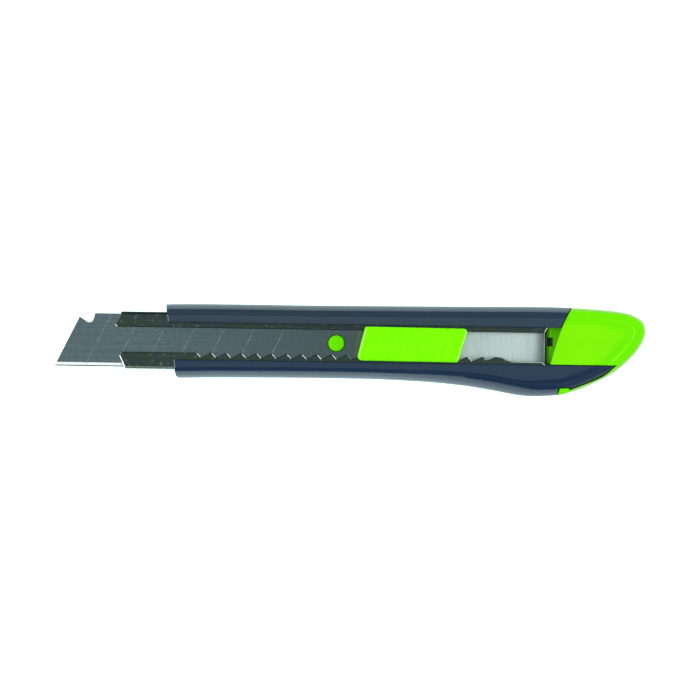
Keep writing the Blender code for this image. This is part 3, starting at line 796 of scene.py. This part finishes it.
def make_channel(looks):
    low, high = (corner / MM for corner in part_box("blade_channel"))
    sheet, bend = 0.45, 0.9

    def sleeve_section(shrink):
        half, z0, z1 = high.y - shrink, low.z + shrink, high.z - shrink
        corners = ((-half, z0), (half, z0), (half, z1), (-half, z1))
        return rounded([(y, z, bend - shrink) for y, z in corners], 5)

    def sleeve_block(name, shrink, start, end):
        return stack(name, [[(x, y, z) for y, z in sleeve_section(shrink)] for x in (start, end)])

    sleeve = sleeve_block("channel_sleeve", 0.0, BEFORE_NOSE, high.x)
    nose = [(-77.6, 11.0), (-77.7, 9.0), (-79.7, 5.3), (-78.9, 4.3), (-77.4, -4.1), (-78.1, -5.2)]
    nose += [(-75.4, -11.0), (FRONT_END, -11.0), (FRONT_END, 11.0)]
    notch_half = 6.35
    rear = [(66.0, -notch_half), (REAR_END, -notch_half), (REAR_END, notch_half), (66.0, notch_half)]
    wall_top = low.z + sheet
    edge_front, edge_rear, over_wall = 65.72, 66.1, wall_top + 0.5
    rear_edge = [(edge_front, wall_top), (edge_rear, wall_top - 0.07), (edge_rear, over_wall)]
    rear_edge += [(edge_front, over_wall)]
    cut(
        sleeve,
        sleeve_block("channel_hollow", sheet, BEFORE_NOSE - 10.0, 100.0),
        flared("lip_cut", lip_opening(), 8.0, high.z, 0.2),
        flared("nose_cut", nose, UNDER, high.z, 0.26),
        prism("rear_cut", rear, UNDER, low.z + 2 * sheet),
        stack("rear_edge_cut", [[(x, y, z) for x, z in rear_edge] for y in (-6.6, 6.6)]),
    )
    shade(sleeve, 20.0)
    nose_zone, last_lit_notch, bare_lip, rear_flare = -70.0, 43.0, 52.0, 62.0

    # Lit and shaded copies of the channel's steel: painted highlights on the nose chamfers, the notch flanks,
    # the lips' rear edges, the wall's rear end and the lower fold, painted shade on the lips' outer faces and
    # the upper fold.
    def choose(centre, normal):
        upper = centre.z > high.z - sheet - 0.01
        if upper and 0.3 < normal.z < 0.98:
            low_corner = -5.2 < centre.y < -4.0
            if abs(normal.x) > 0.1 and centre.x < nose_zone and centre.y < 5.4 and not low_corner:
                return "cut_edge_painted_highlight"
            if normal.x > 0.1 and nose_zone < centre.x < last_lit_notch:
                return "notch_edge_painted_highlight"
            if centre.x > rear_flare or (centre.x > bare_lip and abs(normal.x) < 0.1):
                return "lip_glint"
        if centre.x > edge_front - 0.02 and not upper and abs(centre.y) < 6.6:
            return "wall_end_painted_highlight"
        if abs(centre.y) > high.y - bend:
            # painted shade on the upper fold, painted highlight on the lower
            return "fold" if centre.y > 0 else "low_fold"
        return "lip" if upper else "wall"

    names = ("lip", "lip_glint", "wall", "wall_end_painted_highlight", "cut_edge_painted_highlight", "notch_edge_painted_highlight", "fold", "low_fold")
    paint(sleeve, looks, names, choose)
    place_piece(sleeve, "handle", "blade_channel")


def make_blade(looks):
    low, high = (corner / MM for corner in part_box("blade"))
    half, lean = 9.0, 0.493
    middle = (low.z + high.z) / 2
    notch_y = 7.8
    notch = [(low.x + lean * (half + notch_y), notch_y), (-90.2, 6.8), (-88.8, 5.95), (-87.7, 6.1)]
    notch = curve_through(notch + [(-87.05, 6.9), (-86.5, half)], 3)
    strip = prism("blade_strip", [(low.x, -half)] + notch + [(2.9, half), (0.4, -half)], low.z, high.z)
    ground, micro, beyond = 1.3, 0.36, half + 1.0
    for side in (-1, 1):
        face, knee, edge = (middle + side * offset for offset in (high.z - middle, 0.10, 0.03))
        wedge = [(-beyond, edge), (-half, edge), (-half + micro, knee), (-half + ground, face)]
        wedge += [(-half + ground, face + side), (-beyond, face + side)]
        cut(strip, stack("grind", [[(x, y, z) for y, z in wedge] for x in (FRONT_END, 20.0)]))
    grooves = []
    first_score, pitch, scores, depth = -90.2, 10.12, 7, 0.1
    groove_section = ((-0.25, depth), (0.0, -depth), (0.02, -depth), (0.27, depth))
    for score in range(scores):
        rings = []
        for y in (-beyond, beyond):
            x = first_score + pitch * score + lean * (y + beyond)
            rings.append([(x + across, y, high.z + z) for across, z in groove_section])
        grooves.append(stack("score", rings))
    cut(strip, *grooves, prism("hole", circle(PIN_X, 0.0, HOLE_RADIUS), UNDER, OVER))
    shade(strip, 3.0)

    def choose(centre, normal):
        if centre.y < -half + micro:
            return "cutting_edge"
        # painted highlight: the ground bevel takes the near-white steel
        if centre.y < -half + ground + 0.01 and abs(normal.z) < 0.999:
            return "ground"
        in_groove = 0.3 < normal.z < 0.98 or (normal.z > 0.98 and centre.z < high.z - depth / 2)
        return "score" if in_groove else "blade"

    paint(strip, looks, ("blade", "ground", "score", "cutting_edge"), choose)
    place_piece(strip, "carriage", "blade")


def repaint(looks):
    for node, name in (("carrier_plate", "plate"), ("lock_spring", "spring")):
        for material_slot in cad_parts[node].material_slots:
            material_slot.material = looks[name]


# ---------------------------------------------------------------- room, light and camera


def make_floor():
    reach = 4000.0
    work = bmesh.new()
    corners = [(-reach, -reach), (reach, -reach), (reach, reach), (-reach, reach)]
    work.faces.new([work.verts.new((x * MM, y * MM, CAD_LOW.z)) for x, y in corners])
    floor = new_piece("floor", work)
    look = Look("floor_paper", 0.9, specular=0.1)
    tone = look.spread(look.noise((3.0, 3.0, 3.0), detail=2.0), 0.0, 1.0)
    look.feed("Base Color", look.mix(tone, (0.82, 0.84, 0.84), (0.86, 0.88, 0.88)))
    look.shader.inputs["Emission Color"].default_value = (0.70, 0.98, 1.0, 1.0)
    look.shader.inputs["Emission Strength"].default_value = 1.12
    floor.data.materials.append(look.material)


def area_light(name, place, size, radiance, color=(1.0, 1.0, 1.0)):
    """A softbox that faces the knife and isn't seen itself."""
    data = bpy.data.lights.new(name, "AREA")
    data.shape = "RECTANGLE"
    data.size, data.size_y = size
    data.energy = radiance * math.pi * size[0] * size[1]
    data.color = color
    light = bpy.data.objects.new(name, data)
    bpy.context.scene.collection.objects.link(light)
    light.location = place
    light.rotation_mode = "QUATERNION"
    light.rotation_quaternion = (-Vector(place)).to_track_quat("-Z", "Y")
    light.visible_camera = False


def make_light():
    world = bpy.data.worlds.new("studio")
    bpy.context.scene.world = world
    world.use_nodes = True
    tree = world.node_tree
    soft = tree.nodes["Background"]
    soft.inputs["Color"].default_value = (0.9, 1.0, 1.0, 1.0)
    soft.inputs["Strength"].default_value = 0.22
    backdrop = tree.nodes.new("ShaderNodeBackground")
    backdrop.inputs["Color"].default_value = (1.0, 1.0, 1.0, 1.0)
    seen = tree.nodes.new("ShaderNodeLightPath")
    mix = tree.nodes.new("ShaderNodeMixShader")
    tree.links.new(seen.outputs["Is Camera Ray"], mix.inputs["Fac"])
    tree.links.new(soft.outputs["Background"], mix.inputs[1])
    tree.links.new(backdrop.outputs["Background"], mix.inputs[2])
    tree.links.new(mix.outputs["Shader"], tree.nodes["World Output"].inputs["Surface"])
    area_light("top_softbox", (0.0, 0.0, 1.8), (1.5, 1.5), 0.66, (0.88, 1.0, 1.0))
    area_light("tip_softbox", (-1.2, 0.0, 0.95), (1.5, 0.85), 3.5)
    area_light("cap_softbox", (1.2, 0.0, 0.95), (1.5, 0.85), 3.5)
    area_light("notch_softbox", (0.8, 1.15, 1.0), (0.7, 0.5), 3.0)


def make_camera():
    frame_width = 237.05 * MM
    distance = 1.5
    level = 8.0 * MM
    data = bpy.data.cameras.new("camera")
    data.sensor_width = 36.0
    data.lens = data.sensor_width * distance / frame_width
    data.clip_start, data.clip_end = 0.01, 20.0
    camera = bpy.data.objects.new("camera", data)
    bpy.context.scene.collection.objects.link(camera)
    camera.location = (-0.03 * MM, -2.2 * MM, distance + level)
    camera.rotation_euler = (0.0, 0.0, 0.0152)
    bpy.context.scene.camera = camera


bpy.context.scene.view_settings.view_transform = "Standard"
LOOKS = finish_materials()
make_camera()
make_light()
make_floor()
make_handle(LOOKS)
make_cap(LOOKS)
make_slider(LOOKS)
make_pin(LOOKS)
make_channel(LOOKS)
make_blade(LOOKS)
repaint(LOOKS)
